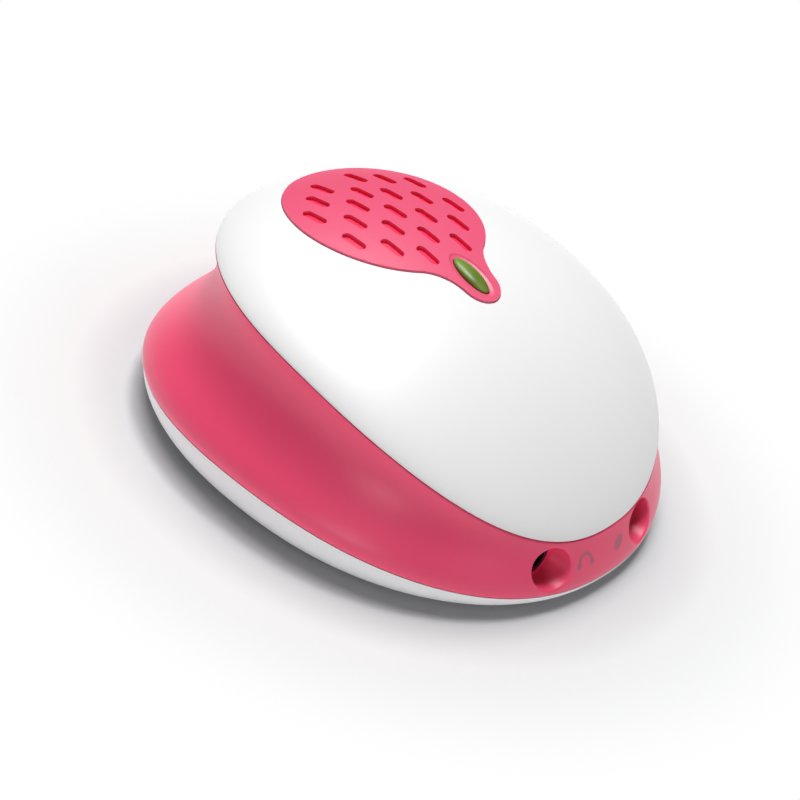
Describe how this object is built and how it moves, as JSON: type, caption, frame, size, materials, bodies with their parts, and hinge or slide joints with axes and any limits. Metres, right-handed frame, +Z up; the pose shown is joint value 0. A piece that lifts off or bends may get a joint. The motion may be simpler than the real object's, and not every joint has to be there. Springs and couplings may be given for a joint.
{
  "type": "fetal doppler monitor",
  "caption": "Palm-sized fetal doppler: white dome on a flared pink waist, slotted teardrop insert, oval lit power button, audio sockets at the narrow end, probe and battery door underneath.",
  "frame": {"origin": "centre of the flat underside, at the level of the table it stands on", "axes": "+Z up; +Y along the body from the low socket end towards the tall rounded end, so the sockets face -Y; +X to the right of someone who looks along +Y; X = 0 is the plane of symmetry of the shells"},
  "size_m": [0.093, 0.1006, 0.0419],
  "materials": {
    "dome_white": "satin",
    "band_pink": "satin",
    "insert_pink": "satin",
    "lens_green": "gloss",
    "base_white": "satin",
    "socket_black": "satin",
    "probe_face": "satin",
    "cup_grey": "matte",
    "seal_black": "matte",
    "foam_grey": "matte",
    "backing_brown": "matte",
    "crystal": "satin",
    "board_green": "satin",
    "chip_black": "matte",
    "tin": "satin",
    "screw_steel": "satin",
    "led_clear": "gloss",
    "capacitor_blue": "gloss",
    "battery_case": "satin",
    "lead_red": "satin",
    "ribbon_grey": "satin"
  },
  "bodies": {
    "housing": {"top_shell": "dome_white", "slotted_insert": "insert_pink", "waist_band": "band_pink", "base_shell": "base_white", "probe_window": "probe_face", "probe_seal": "seal_black", "probe_cup": "cup_grey", "transmit_crystal": "crystal", "receive_crystal": "crystal", "probe_backing": "backing_brown", "probe_leads": "lead_red", "main_board": "board_green", "board_screws": "screw_steel", "case_screws": "screw_steel", "power_switch": "tin", "power_led": "led_clear", "controller_chip": "chip_black", "audio_chip": "chip_black", "shield_can": "tin", "capacitors": "capacitor_blue", "quartz_can": "tin", "battery": "battery_case", "battery_connector": "socket_black", "battery_leads": "lead_red", "socket_board": "board_green", "headphone_socket": "socket_black", "record_socket": "socket_black", "socket_ribbon": "ribbon_grey"},
    "button": {"power_button": "lens_green", "switch_plunger": "chip_black"},
    "door": {"battery_door": "base_white", "door_pad": "foam_grey"}
  },
  "joints": [
    {"name": "button_press", "type": "slide", "parent": "housing", "child": "button", "axis": [0, 0, -1], "range_m": [0, 0.0005], "stiffness_N_per_m": 4000, "springref_m": -0.0002},
    {"name": "door_hinge", "type": "hinge", "parent": "housing", "child": "door", "pos_m": [0, 0.006, 0.0014], "axis": [1, 0, 0], "range_deg": [0, 90]}
  ]
}
